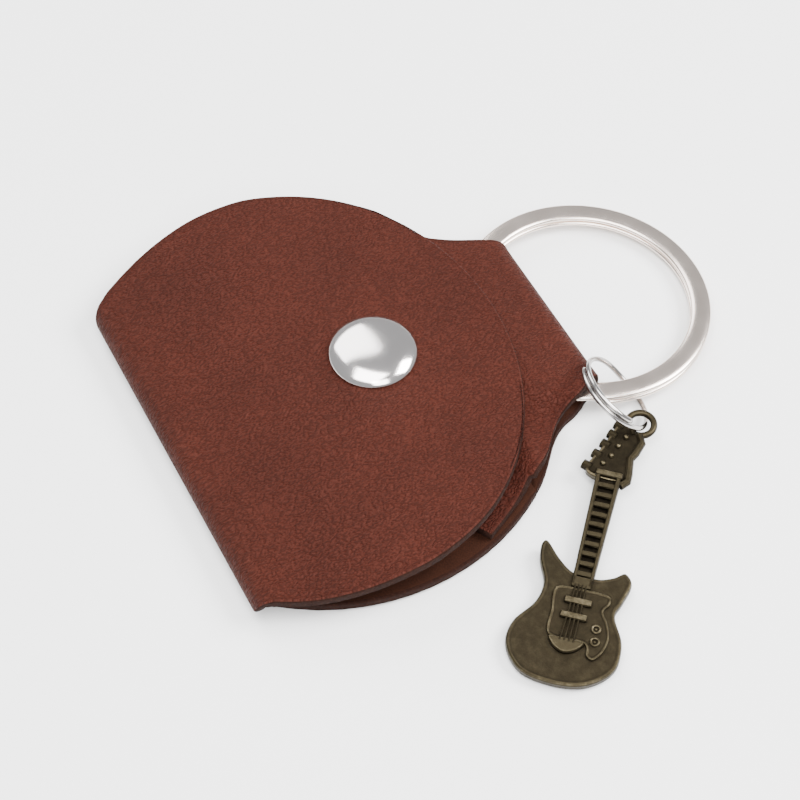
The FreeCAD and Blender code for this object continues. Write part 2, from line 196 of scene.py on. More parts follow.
def leather_grain():
    """Pebbled leather: irregular cells with fine creases between them, on the unrolled sheet, with painted
    shade in the creases and a faint painted highlight on the pebble tops.
    """
    s = Shader("leather_grain", Roughness=0.5, Specular_IOR_Level=0.13)
    flat = s.place("UV", (100, 100, 1))
    drift = s.node("TexNoise", {"Vector": flat, "Scale": 0.8, "Detail": 3.0})
    bent = s.node("VectorMath", {0: drift.outputs["Color"], 1: (0.6, 0.6, 0.0)}, operation="MULTIPLY")
    where = s.node("VectorMath", {0: flat, 1: bent.outputs[0]}, operation="ADD").outputs[0]
    stretched = s.node("Mapping", {"Vector": where, "Scale": (2.1, 1.2, 1.0), "Rotation": (0, 0, 0.3)})
    cells = s.node(
        "TexVoronoi",
        {"Vector": stretched.outputs[0], "Scale": 1.95, "Smoothness": 0.25, "Randomness": 0.9},
        feature="SMOOTH_F1",
    )
    small = s.node(
        "TexVoronoi",
        {"Vector": stretched.outputs[0], "Scale": 3.7, "Randomness": 1.0},
        feature="F1",
    )
    pebble = s.ramp(cells.outputs["Distance"], (0.1, 1.0), (0.42, 0.72), (0.75, 0.0))
    fine = s.ramp(small.outputs["Distance"], (0.1, 1.0), (0.8, 0.0))
    height = s.math("ADD", s.math("MULTIPLY", pebble, 0.75), s.math("MULTIPLY", fine, 0.3))
    pores = s.noise(flat, 6.0, 4.0, 0.7)
    height = s.math("ADD", height, s.math("MULTIPLY", pores, 0.2))
    tone = s.ramp(s.noise(flat, 0.09, 3.0), (0.3, (0.04, 0.0073, 0.0033)), (0.7, (0.05, 0.0095, 0.0045)))
    # Painted shade and highlight: the colour darkens down into the grain's creases and lightens a little on
    # the pebble tops, following the bump height.
    dark = s.ramp(height, (0.2, 0.66), (0.6, 0.93), (1.0, 1.06))
    colour = s.multiply(tone, dark)
    rough = s.ramp(height, (0.3, 0.74), (1.0, 0.56))
    return s.plug(Base_Color=colour, Roughness=rough, Normal=s.bump(height, 0.0003, 0.9))


def leather_flesh():
    """Suede-like flesh side: matt, fibrous and a little lighter."""
    s = Shader("leather_flesh", Roughness=0.95, Specular_IOR_Level=0.1)
    flat = s.place("UV", (100, 100, 1))
    fibre = s.noise(flat, 5.0, 6.0, 0.75)
    nap = s.noise(flat, 0.4, 3.0)
    colour = s.ramp(fibre, (0.3, (0.014, 0.0045, 0.0025)), (0.72, (0.045, 0.0155, 0.008)))
    colour = s.multiply(colour, s.ramp(nap, (0.3, 0.8), (0.7, 1.0)))
    return s.plug(Base_Color=colour, Normal=s.bump(fibre, 0.0003, 0.6))


def leather_edge():
    """Raw cut edge: pressed fibres in layers between the two faces."""
    s = Shader("leather_edge", Roughness=0.9, Specular_IOR_Level=0.1)
    solid = s.place("Object", (1000, 1000, 1000))
    fibre = s.noise(solid, 2.6, 6.0, 0.75)
    blotch = s.noise(solid, 0.5, 3.0)
    colour = s.ramp(
        fibre,
        (0.28, (0.009, 0.003, 0.002)),
        (0.6, (0.024, 0.008, 0.0045)),
        (0.8, (0.06, 0.024, 0.013)),
    )
    colour = s.multiply(colour, s.ramp(blotch, (0.3, 0.75), (0.7, 1.0)))
    return s.plug(Base_Color=colour, Normal=s.bump(fibre, 0.0003, 0.8))


def plated(name, tone, rough, scratch):
    """Plated metal with soft smears and fine scratches."""
    s = Shader(name, Metallic=1.0)
    solid = s.place("Object", (1000, 1000, 1000))
    smears = s.noise(solid, 0.32, 3.0)
    lines = s.noise(solid, 6.0, 5.0, 0.7)
    light = tuple(min(1.0, 1.03 * q) for q in tone)
    colour = s.ramp(smears, (0.3, tone), (0.7, light))
    worn = s.math("ADD", s.math("MULTIPLY", smears, 0.6), s.math("MULTIPLY", lines, 0.4))
    roughness = s.ramp(worn, (0.3, rough * 0.9), (0.7, rough * 1.12))
    return s.plug(Base_Color=colour, Roughness=roughness, Normal=s.bump(lines, 0.00003, scratch))


def antique_bronze():
    """Cast antique bronze: dark in the recesses, rubbed bright where it stands proud."""
    s = Shader("antique_bronze", Metallic=1.0)
    solid = s.place("Object", (1000, 1000, 1000))
    wear = s.node("Attribute", {}, attribute_name="wear").outputs["Fac"]
    mottle = s.noise(solid, 0.9, 5.0, 0.7)
    grit = s.noise(solid, 5.0, 4.0, 0.7)
    level = s.math("ADD", s.math("MULTIPLY", wear, 0.72), s.math("MULTIPLY", mottle, 0.55))
    level = s.math("SUBTRACT", level, 0.13)
    colour = s.ramp(
        level,
        (0.15, (0.005, 0.004, 0.003)),
        (0.5, (0.022, 0.0175, 0.0105)),
        (0.8, (0.047, 0.038, 0.022)),
        (1.0, (0.16, 0.132, 0.08)),
    )
    rough = s.ramp(level, (0.1, 0.62), (0.9, 0.33))
    uneven = s.bump(s.math("ADD", mottle, grit), 0.00007, 0.5)
    return s.plug(Base_Color=colour, Roughness=rough, Normal=uneven)


GRAIN, FLESH, EDGE = leather_grain(), leather_flesh(), leather_edge()
NICKEL = plated("polished_nickel", (0.74, 0.70, 0.68), 0.13, 0.15)
BRIGHT = plated("bright_steel", (0.46, 0.44, 0.425), 0.14, 0.1)
SATIN = plated("satin_nickel", (0.78, 0.675, 0.6), 0.24, 0.2)
STEEL = plated("snap_steel", (0.58, 0.57, 0.55), 0.3, 0.3)
BRONZE = antique_bronze()


# ---------------------------------------------------------------- leather
def leather_sheet(name, middle, normal, flat, outer, inner, flush_first=False, flush_last=False):
    """Sheet from a grid of points: two faces, and a rounded, slightly furry edge between them."""
    rows, cols = middle.shape[:2]
    loop = [(0, j) for j in range(cols)] + [(i, cols - 1) for i in range(1, rows)]
    loop += [(rows - 1, j) for j in range(cols - 2, -1, -1)] + [(i, 0) for i in range(rows - 2, 0, -1)]
    count = len(loop)
    edge = np.array([middle[p] for p in loop])
    up = np.array([normal[p] for p in loop])
    along = np.roll(edge, -1, 0) - np.roll(edge, 1, 0)
    out = np.cross(along, up)
    out /= np.linalg.norm(out, axis=1)[:, None] + 1e-9
    inside = np.array([middle[min(max(i, 1), rows - 2), min(max(j, 1), cols - 2)] for i, j in loop])
    out *= np.sign(np.einsum("ij,ij->i", edge - inside, out))[:, None]
    for k, (i, j) in enumerate(loop):
        if (flush_first and i == 0) or (flush_last and i == rows - 1):
            out[k] = 0
    grid = middle.copy()
    for k, p in enumerate(loop):
        grid[p] = edge[k] - EDGE_ROUND * out[k]
    top = grid + normal * outer[..., None]
    low = grid - normal * inner[..., None]
    vertices = [top.reshape(-1, 3), low.reshape(-1, 3)]
    uv = [flat.reshape(-1, 2), flat.reshape(-1, 2)]
    size = rows * cols
    faces, kinds = [], []
    for i in range(rows - 1):
        for j in range(cols - 1):
            a = i * cols + j
            quad = (a, a + 1, a + cols + 1, a + cols)
            faces += [quad, tuple(size + q for q in reversed(quad))]
            kinds += [0, 1]
    edge_outer = np.array([outer[p] for p in loop])
    edge_inner = np.array([inner[p] for p in loop])
    edge_flat = np.array([flat[p] for p in loop])
    length = np.cumsum(np.linalg.norm(along, axis=1)) / 2
    rings = [[p[0] * cols + p[1] for p in loop]]
    start = 2 * size
    turns = [70, 45, 20, 0, None, 0, -20, -45, -70]  # degrees round the edge; None is its middle
    for k, turn in enumerate(turns):
        if turn is None:
            sideways, height = np.full(count, 0.0), (edge_outer - edge_inner) / 2
        else:
            c, s = math.cos(math.radians(turn)), math.sin(math.radians(turn))
            sideways = np.full(count, EDGE_ROUND * (c - 1))
            upper = turn > 0 or (turn == 0 and k < 4)
            corner = edge_outer - EDGE_ROUND if upper else -edge_inner + EDGE_ROUND
            height = corner + EDGE_ROUND * s
        fur = EDGE_FUR * ripple(length, np.full(count, 1.9 * k), 2.0) * (1 if 1 < k < 8 else 0)
        ring = edge + out * (sideways + fur)[:, None] + up * height[:, None]
        vertices.append(ring)
        uv.append(edge_flat)
        rings.append(list(range(start, start + count)))
        start += count
    rings.append([size + p[0] * cols + p[1] for p in loop])
    for k, (one, two) in enumerate(zip(rings, rings[1:])):
        for a in range(count):
            b = (a + 1) % count
            faces.append((one[b], one[a], two[a], two[b]))
            kinds.append(0 if k < 2 else 2)
    uv = np.vstack(uv) / 100 + 0.5
    return new_object(name, np.vstack(vertices), faces, [GRAIN, FLESH, EDGE], kinds, uv)


flap_height = hermite(
    (-19.1, -15.1, -9.0, -3.6, 1.4, 3.4, 8.4, 13.4, 20.0, 26.5),
    (4.0, 4.35, 5.35, 6.3, 6.8, 7.02, 7.05, 7.07, 7.13, 7.2),
)


def flap_half(y):
    """Half-width of the flap at a height above the fold."""
    y = np.asarray(y, float)
    rise = y - FLAP_CENTRE_Y
    round_part = np.sqrt(np.maximum(FLAP_RADIUS**2 - rise**2, 0))
    oval_part = FLAP_RADIUS * np.sqrt(np.maximum(1 - (rise / FLAP_OVAL_REACH) ** 2, 0))
    return np.where(y < FLAP_CENTRE_Y, round_part, oval_part)


def flap_grid(rows, cols):
    """Plan positions on the flap, from its tip to the fold, with no pinched corners."""
    turn = math.radians(50)  # where the grid's tip row meets its sides
    knee = 0.62  # share of each side that lies on the oval part
    u = np.linspace(-1, 1, cols)
    v = np.linspace(0, 1, rows)
    corner_y = FLAP_CENTRE_Y + FLAP_OVAL_REACH * math.sin(turn)
    fold_y = FOLD_CENTRE[0]
    angle = math.pi / 2 - u * (math.pi / 2 - turn)
    tip = np.stack([FLAP_RADIUS * np.cos(angle), FLAP_CENTRE_Y + FLAP_OVAL_REACH * np.sin(angle)], -1)
    upper = np.maximum(turn * (1 - v / knee), 0)
    lower = np.maximum((v - knee) / (1 - knee), 0)
    drop = math.asin((FLAP_CENTRE_Y - fold_y) / FLAP_RADIUS)
    on_oval = FLAP_CENTRE_Y + FLAP_OVAL_REACH * np.sin(upper)
    on_round = FLAP_CENTRE_Y - FLAP_RADIUS * np.sin(lower * drop)
    side_y = np.where(v < knee, on_oval, on_round)
    half = flap_half(side_y)
    half[0] = FLAP_RADIUS * math.cos(turn)
    side_y[0] = corner_y
    right = np.stack([half, side_y], -1)
    left = np.stack([-half, side_y], -1)
    base = np.stack([u * half[-1], np.full(cols, fold_y)], -1)
    across = (u + 1)[None, :, None] / 2
    down = v[:, None, None]
    ruled = (1 - across) * left[:, None] + across * right[:, None]
    sunk = (1 - down) * tip[None] + down * base[None]
    corners = (1 - across) * ((1 - down) * left[0] + down * left[-1])
    corners = corners + across * ((1 - down) * right[0] + down * right[-1])
    return ruled + sunk - corners


def back_and_flap():
    """Flap, left fold and back lobe: one sheet folded over."""
    cols = 65
    plan = flap_grid(56, cols)
    x, y = plan[..., 0], plan[..., 1]
    x = np.where(x > 0, x * FLAP_WIDEN_RIGHT, x)
    z = flap_height(y)
    slope = (flap_height(y + 0.05) - flap_height(y - 0.05)) / 0.1
    wave = 1 + np.sin(0.16 * y + 0.09 * x + 0.6)
    lift = 0.08 * wave * ease(18, 31, np.hypot(x, y - FLAP_CENTRE_Y))
    flap = np.stack([x, y, z + lift], -1)
    up = np.stack([np.zeros_like(x), -slope, np.ones_like(x)], -1)
    up /= np.linalg.norm(up, axis=-1)[..., None]
    radius = np.hypot(x - SNAP[0], y - SNAP[1])
    flap_outer = LEATHER / 2 - 0.1 * (1 - ease(5.5, 9.0, radius))
    flat_flap = np.stack([x, y], -1)

    u = np.linspace(-1, 1, cols)
    angles = np.radians(np.linspace(90, 270, 22))[1:]
    edge_right, edge_left = x[-1, -1], x[-1, 0]
    half_arc = math.pi * FOLD_MID_RADIUS
    fold, fold_up, fold_flat = [], [], []
    for angle in angles:
        share = (angle - math.pi / 2) / math.pi
        right = edge_right + (FOLD_RIGHT - edge_right) * share
        left = edge_left + (FOLD_LEFT - edge_left) * share
        xs = left + (right - left) * (u + 1) / 2
        dy, dz = math.cos(angle), math.sin(angle)
        y_here = FOLD_CENTRE[0] + FOLD_MID_RADIUS * dy
        z_here = FOLD_CENTRE[1] + FOLD_MID_RADIUS * dz
        fold.append(np.stack([xs, xs * 0 + y_here, xs * 0 + z_here], -1))
        fold_up.append(np.stack([xs * 0, xs * 0 + dy, xs * 0 + dz], -1))
        fold_flat.append(np.stack([xs, xs * 0 + FOLD_CENTRE[0] - half_arc * share], -1))
    fold, fold_up, fold_flat = np.array(fold), np.array(fold_up), np.array(fold_flat)

    ys = np.linspace(FOLD_CENTRE[0], SPLIT_Y, 44)[1:]
    reach = np.sqrt(BACK_RADIUS**2 - (ys - BACK_CENTRE) ** 2)
    xs = BACK_CENTRE + reach[:, None] * u[None]
    yy = np.repeat(ys[:, None], cols, 1)
    lobe = np.stack([xs, yy, np.full_like(xs, BACK_MID_Z)], -1)
    lobe_up = np.zeros_like(lobe)
    lobe_up[..., 2] = -1
    lobe_flat = np.stack([xs, 2 * FOLD_CENTRE[0] - half_arc - yy], -1)
    rivet = 1 - ease(4.3, 6.4, np.hypot(xs - SNAP[0], yy - SNAP[1]))
    lobe_outer = LEATHER / 2 - 0.45 * rivet

    fold_half = np.full(fold.shape[:2], LEATHER / 2)
    middle = np.vstack([flap, fold, lobe])
    normal = np.vstack([up, fold_up, lobe_up])
    flat = np.vstack([flat_flap, fold_flat, lobe_flat])
    outer = np.vstack([flap_outer, fold_half, lobe_outer])
    inner = np.full(outer.shape, LEATHER / 2)
    piece = leather_sheet("flap_fold_back", middle, normal, flat, outer, inner, flush_last=True)
    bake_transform(piece)
    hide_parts("flap_panel", "fold_spine", "back_panel")
    return piece


# Side edges of the tab's lower and upper layers, as x against y.
TAB_SIDE = {
    "low_right": hermite(
        (19, 21, 23, 24.5, 26.5, 30.7, 33.6, 35),
        (26.61, 25.1, 23.1, 21.4, 19.6, 17.8, 16.1, 15.6),
    ),
    "low_left": hermite(
        (19, 21, 23, 25, 27, 31, 33.6, 35),
        (-24.61, -23.0, -20.6, -17.3, -14.2, -11.8, -10.3, -9.75),
    ),
    "top_right": hermite(
        (19, 21, 23, 24.5, 26.5, 30.7, 33.6, 35),
        (26.0, 24.8, 22.9, 21.2, 19.4, 17.8, 16.1, 15.6),
    ),
    "top_left": hermite(
        (19, 21, 23, 24.5, 26.5, 31, 33.6, 35),
        (-24.1, -21.2, -17.2, -15.2, -13.8, -11.6, -10.3, -9.75),
    ),
}
tongue_height = hermite(
    (0.4, 5.0, 10.0, 13.3, 14.8, 16.6, 19.0, 21.3, 22.6, 24.0),
    (2.44, 2.44, 2.44, 2.45, 2.52, 2.92, 4.25, 5.26, 5.44, 5.33),
)


def tab_and_tongue():
    """Key-ring tab folded round the ring, and the tongue that carries the stud."""
    cols = 49
    u = np.linspace(-1, 1, cols)
    stations = []
    for y in np.linspace(SPLIT_Y, TAB_CENTRE[0], 17)[:-1]:
        stations.append((y, BACK_MID_Z, 0.0, -1.0, "low"))
    for angle in np.linspace(-90, 90 - math.degrees(TAB_RISE), 21):
        dy, dz = math.cos(math.radians(angle)), math.sin(math.radians(angle))
        y, z = TAB_CENTRE[0] + TAB_MID_RADIUS * dy, TAB_CENTRE[1] + TAB_MID_RADIUS * dz
        stations.append((y, z, dy, dz, "low" if angle < 0 else "top"))
    leave_y, leave_z = stations[-1][:2]
    for y in np.linspace(leave_y, TONGUE_START_Y, 12)[1:]:
        z = leave_z + (leave_y - y) * math.tan(TAB_RISE)
        stations.append((y, z, math.sin(TAB_RISE), math.cos(TAB_RISE), "top"))
    for y in np.linspace(TONGUE_START_Y, SPLIT_Y, 8)[1:]:
        slope = float(tongue_height(y + 0.05) - tongue_height(y - 0.05)) / 0.1
        size = math.hypot(slope, 1)
        stations.append((y, float(tongue_height(y)), -slope / size, 1 / size, "top"))
    middle, normal, flat, travelled, before = [], [], [], 0.0, stations[0][:2]
    for y, z, ny, nz, layer in stations:
        travelled += math.hypot(y - before[0], z - before[1])
        before = (y, z)
        right, left = float(TAB_SIDE[layer + "_right"](y)), float(TAB_SIDE[layer + "_left"](y))
        xs = left + (right - left) * (u + 1) / 2
        middle.append(np.stack([xs, xs * 0 + y, xs * 0 + z], -1))
        normal.append(np.stack([xs * 0, xs * 0 + ny, xs * 0 + nz], -1))
        flat.append(np.stack([xs, xs * 0 - 26.0 - travelled], -1))
    for v in np.linspace(0, 1, 22)[1:]:
        side_y = SPLIT_Y + (TONGUE_END_Y - SPLIT_Y) * v
        reach = math.sqrt(TONGUE_RADIUS**2 - (side_y - BACK_CENTRE) ** 2)
        xs = 1.0 - 0.3 * (1 - v) + (reach - 0.25 * (1 - v)) * u
        end_y = 0.7 + 9.2 * ((xs - 0.7) / 29.5) ** 2
        y = side_y + (end_y - TONGUE_END_Y) * v**1.5
        z = tongue_height(y)
        slope = (tongue_height(y + 0.05) - tongue_height(y - 0.05)) / 0.1
        size = np.hypot(slope, 1)
        middle.append(np.stack([xs, y, z], -1))
        normal.append(np.stack([xs * 0, -slope / size, 1 / size], -1))
        flat.append(np.stack([xs, -26.0 - travelled - (SPLIT_Y - y)], -1))
    middle, normal, flat = np.array(middle), np.array(normal), np.array(flat)
    x, y = middle[..., 0], middle[..., 1]
    ring = np.hypot(x - RING_CENTRE[0], y - RING_CENTRE[1])

    # The right margin settles towards the layer below, clear of the key ring.
    upper = middle[..., 2] > TAB_UPPER_Z
    margin = ease(18.0, 22.0, ring) * ease(13.0, 19.0, x)
    middle[..., 2] -= TAB_SETTLE * upper * margin * ease(19.5, 23.0, y) * (1 - ease(28.0, 31.5, y))

    # The leather stands a little proud over the ring. Its faces are thinner past the crease.
    over = upper * ease(27, 28.5, y) * np.exp(-(((ring - RING_MID) / 1.9) ** 2))
    first_thin_outer, first_thin_inner = 17, 45
    outer = np.full(x.shape, LEATHER / 2)
    outer[first_thin_outer:] = LEATHER_THINNED / 2
    outer = outer + 0.16 * over
    inner = np.full(x.shape, LEATHER / 2)
    inner[first_thin_inner:] = LEATHER_THINNED / 2
    piece = leather_sheet("tab_and_tongue", middle, normal, flat, outer, inner, flush_first=True)
    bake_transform(piece)
    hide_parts("neck_under", "ring_loop", "neck_over", "tongue")
    return piece


# ---------------------------------------------------------------- metal
def lathe(profile, segments=96):
    """Vertices and faces of a turned shape about +Z; the first and last points may lie on the axis."""
    vertices, rings, faces = [], [], []
    for r, z in profile:
        if r < 1e-6:
            rings.append([len(vertices)])
            vertices.append((0.0, 0.0, z))
            continue
        rings.append(list(range(len(vertices), len(vertices) + segments)))
        for k in range(segments):
            a = 2 * math.pi * k / segments
            vertices.append((r * math.cos(a), r * math.sin(a), z))
    for one, two in zip(rings, rings[1:]):
        for k in range(segments):
            n = (k + 1) % segments
            if len(one) == 1:
                faces.append((one[0], two[k], two[n]))
            elif len(two) == 1:
                faces.append((one[k], two[0], one[n]))
            else:
                faces.append((one[k], two[k], two[n], one[n]))
    return vertices, faces


def snap_cap():
    """Domed cap with a rolled rim."""
    profile = [(0.0, 1.6), (1.2, 1.585), (2.4, 1.52), (3.5, 1.38), (4.4, 1.16), (5.05, 0.9), (5.5, 0.64)]
    profile += [(5.8, 0.4), (5.95, 0.22), (6.0, 0.08), (5.96, -0.02), (5.8, -0.08)]
    profile += [(5.4, -0.06), (5.0, 0.05), (0.0, 0.12)]
    vertices, faces = lathe(profile)
    vertices = np.array(vertices) + (SNAP[0], SNAP[1], CAP_BASE)
    piece = new_object("cap_dome", vertices, faces, [NICKEL])
    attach(piece, "flap")
    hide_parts("snap_cap")
    return piece


def sweep(path_frames, section):
    """Closed tube: one section, set at each (centre, sideways, up) frame, with closed ends."""
    vertices, faces = [], []
    count = len(section)
    for centre, side, up in path_frames:
        for a, b in section:
            vertices.append(np.array(centre) + a * np.array(side) + b * np.array(up))
    for i in range(len(path_frames) - 1):
        for k in range(count):
            n = (k + 1) % count
            a = i * count
            faces.append((a + k, a + n, a + count + n, a + count + k))
    faces.append(tuple(reversed(range(count))))
    last = (len(path_frames) - 1) * count
    faces.append(tuple(range(last, last + count)))
    return vertices, faces


def round_section(radius, sides):
    """Round wire."""
    angles = np.linspace(0, 2 * math.pi, sides + 1)[:-1]
    return [(radius * math.cos(a), radius * math.sin(a)) for a in angles]


def crowned_section(width, thick):
    """Flat wire with softly crowned faces and rounded sides."""
    steps, crown = 32, 0.75
    points = []
    for k in range(steps):
        a = 2 * math.pi * k / steps
        c, t = math.cos(a), math.sin(a)
        x = math.copysign(abs(c) ** crown, c) * width / 2
        points.append((x, math.copysign(abs(t) ** crown, t) * thick / 2))
    return points


def coil_level(step_from, step_to, half_pitch):
    """Height of a two-coil ring against angle: low coil, smooth step, high coil."""

    def level(angle):
        t = min(1.0, max(0.0, (angle - step_from) / (step_to - step_from)))
        return half_pitch * (2 * t * t * (3 - 2 * t) - 1)

    return level


def coil_frames(radius, start, end, level, degrees, taper):
    """Frames along a flat coil whose height follows level(angle)."""
    steps = int(abs(end - start) / degrees)
    frames = []
    for i in range(steps + 1):
        angle = start + (end - start) * i / steps
        a = math.radians(angle)
        near_end = min(i, steps - i) * abs(end - start) / steps
        shrink = 1 - taper * max(0.0, 1 - near_end / 1.2)
        out = np.array((math.cos(a), math.sin(a), 0.0))
        frames.append((out * radius + (0, 0, level(angle)), out * shrink, np.array((0, 0, 1.0)) * shrink))
    return frames


def key_ring():
    """Split ring of flat wire: two coils and the step between them."""
    step_from, step_to = 314.0, 338.0
    level = coil_level(step_from, step_to, RING_HALF_PITCH)
    frames = coil_frames(RING_MID, step_to - 359.0, step_from + 359.0, level, 1.5, 0.1)
    vertices, faces = sweep(frames, crowned_section(RING_WIDTH, RING_WIRE_THICK))
    place = Matrix.Translation(RING_CENTRE) @ Matrix.Rotation(RING_TILT, 4, "X")
    vertices = [place @ Vector(v) for v in vertices]
    piece = new_object("split_ring", np.array(vertices), faces, [SATIN])
    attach(piece, "ring")
    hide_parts("key_ring")
    return piece


def link_ring():
    """Small split ring of round wire."""
    level = coil_level(470.0, 538.0, LINK_HALF_PITCH)
    frames = coil_frames(LINK_RADIUS, 225.0, 700.0, level, 3.0, 0.15)
    vertices, faces = sweep(frames, round_section(LINK_WIRE, 16))
    turn = Vector((0, 0, 1)).rotation_difference(LINK_NORMAL).to_matrix().to_4x4()
    place = Matrix.Translation(LINK_CENTRE) @ turn
    vertices = [place @ Vector(v) for v in vertices]
    piece = new_object("small_split_ring", np.array(vertices), faces, [BRIGHT])
    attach(piece, "link")
    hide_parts("link_ring")
    return piece


# ---------------------------------------------------------------- guitar charm
def closed_curve(points, per_span=6):
    """Smooth closed outline through the points."""
    p = np.array(points, float)
    n = len(p)
    out = []
    for i in range(n):
        a, b, c, d = p[i - 1], p[i], p[(i + 1) % n], p[(i + 2) % n]
        for k in range(per_span):
            t = k / per_span
            square, cube = 2 * a - 5 * b + 4 * c - d, 3 * b - a - 3 * c + d
            out.append(0.5 * (2 * b + (c - a) * t + square * t**2 + cube * t**3))
    return np.array(out)


def signed_area(outline):
    """Twice the area, positive for an anticlockwise outline."""
    x, y = outline[:, 0], outline[:, 1]
    return np.sum(x * np.roll(y, -1) - np.roll(x, -1) * y)


def shrunk(outline, distance):
    """Outline moved inwards, less where it is narrow."""
    along = np.roll(outline, -1, 0) - np.roll(outline, 1, 0)
    out = np.stack([along[:, 1], -along[:, 0]], -1)
    out /= np.linalg.norm(out, axis=1)[:, None] + 1e-9
    gap = np.linalg.norm(outline[:, None] - outline[None], axis=-1)
    travel = np.cumsum(np.linalg.norm(np.roll(outline, -1, 0) - outline, axis=1))
    apart = np.abs(travel[:, None] - travel[None])
    apart = np.minimum(apart, travel[-1] - apart)
    width = np.where(apart > 2.2 * gap, gap, 99.0).min(1)
    width = np.minimum(np.minimum(width, np.roll(width, 1)), np.roll(width, -1))
    distance = np.minimum(distance, 0.4 * width)[:, None]
    return outline - out * distance * (1 if signed_area(outline) > 0 else -1)


class Casting:
    """Vertices and faces of the charm, gathered part by part, with how worn each point is."""

    def __init__(self):
        self.vertices, self.faces, self.wear = [], [], []

    def add(self, vertices, faces, wear):
        base = len(self.vertices)
        self.vertices += [tuple(v) for v in vertices]
        self.faces += [tuple(base + q for q in f) for f in faces]
        self.wear += list(wear)

    def plate(self, outline, layers):
        """Stack of rings: (inset, height, wear) from the bottom face to the top face."""
        outline = np.asarray(outline, float)
        if signed_area(outline) < 0:
            outline = outline[::-1]
        count = len(outline)
        vertices, faces, wear = [], [], []
        for inset, height, rub in layers:
            for x, y in shrunk(outline, inset):
                vertices.append((x, y, height))
                wear.append(rub)
        for i in range(len(layers) - 1):
            for k in range(count):
                n = (k + 1) % count
                a = i * count
                faces.append((a + k, a + n, a + count + n, a + count + k))
        for base, flip in ((0, True), ((len(layers) - 1) * count, False)):
            flat = [Vector(v[:2]) for v in vertices[base : base + count]]
            filled = delaunay_2d_cdt(flat, [], [list(range(count))], 1, 1e-6)
            rim = np.array([tuple(q) for q in flat])
            nearest = [int(np.argmin(np.hypot(*(rim - np.array(tuple(q))).T))) for q in filled[0]]
            for triangle in filled[2]:
                corners = [base + nearest[q] for q in triangle]
                if len(set(corners)) < 3:
                    continue
                faces.append(tuple(reversed(corners)) if flip else tuple(corners))
        self.add(vertices, faces, wear)

    def bar(self, corners, bottom, top, wear, soft):
        """Raised bar over four or more plan corners, its upper edge softened."""
        points = np.array(corners, float)
        dense = []
        for i in range(len(points)):
            a, b = points[i], points[(i + 1) % len(points)]
            dense += [a + (b - a) * t for t in (0.08, 0.5, 0.92)]
        self.plate(np.array(dense), [(0, bottom, 0.1), (0, top - soft, 0.6), (soft, top, wear)])

    def dome(self, x, y, radius, bottom, height, wear):
        """Round stud, most worn on top."""
        profile = [(radius, 0.0), (radius * 0.95, height * 0.5), (radius * 0.6, height * 0.87), (0.0, height)]
        vertices, faces = lathe(profile, 16)
        rub = [wear * (0.25 + 0.75 * v[2] / height) for v in vertices]
        self.add([(a + x, b + y, c + bottom) for a, b, c in vertices], faces, rub)

    def rope(self, points, radius, wear):
        """Round ridge along a line of (x, y, z) points."""
        p = np.array(points, float)
        frames = []
        for i in range(len(p)):
            t = p[min(i + 1, len(p) - 1)] - p[max(i - 1, 0)]
            t /= np.linalg.norm(t)
            side = np.cross(t, (0, 0, 1.0))
            side /= np.linalg.norm(side)
            frames.append((p[i], side, np.cross(side, t)))
        sides = 10
        vertices, faces = sweep(frames, round_section(radius, sides))
        lit = [max(0.0, math.sin(2 * math.pi * k / sides)) for k in range(sides)]
        rub = [wear * (0.35 + 0.65 * lit[k % sides]) for k in range(len(vertices))]
        self.add(vertices, faces, rub)

    def ring(self, x, y, z, major, minor, wear):
        """Flat-lying ring of round section."""
        around, sides = 40, 14
        vertices, faces, rub = [], [], []
        for i in range(around):
            a = 2 * math.pi * i / around
            for k in range(sides):
                b = 2 * math.pi * k / sides
                r = major + minor * math.cos(b)
                vertices.append((x + r * math.cos(a), y + r * math.sin(a), z + minor * math.sin(b)))
                rub.append(wear * (0.4 + 0.6 * abs(math.sin(b))))
                i2, k2 = (i + 1) % around, (k + 1) % sides
                faces.append((i * sides + k, i2 * sides + k, i2 * sides + k2, i * sides + k2))
        self.add(vertices, faces, rub)


# The charm's outlines, in millimetres from its eyelet, length along x.
BODY = [(20.7, -5.4), (22.6, -3.6), (24.2, -1.6), (24.4, 0.0), (24.5, 2.0), (23.8, 3.8)]
BODY += [(22.8, 5.2), (24.2, 6.3), (27.0, 5.7), (29.2, 5.2), (32.6, 6.8), (36.4, 6.7)]
BODY += [(39.2, 3.9), (40.1, 0.0), (39.4, -4.6), (36.4, -7.2), (33.0, -7.1), (29.6, -5.0)]
BODY += [(26.6, -4.6), (23.6, -5.8), (21.3, -6.1)]
HEAD = [(9.8, -1.6), (8.6, -3.2), (4.8, -1.7), (1.4, -0.6), (0.6, 0.6), (2.2, 2.6)]
HEAD += [(4.0, 3.3), (6.2, 2.5), (8.6, 2.8), (9.8, 1.6)]
PICKGUARD = [(27.1, -2.9), (26.6, 0.4), (26.7, 3.8), (27.9, 4.3), (29.1, 3.7), (30.7, 4.6)]
PICKGUARD += [(32.7, 5.2), (34.7, 4.8), (36.0, 3.8), (35.6, 2.8), (34.5, 2.6), (34.0, 1.7)]
PICKGUARD += [(33.9, -2.4), (30.5, -2.8)]


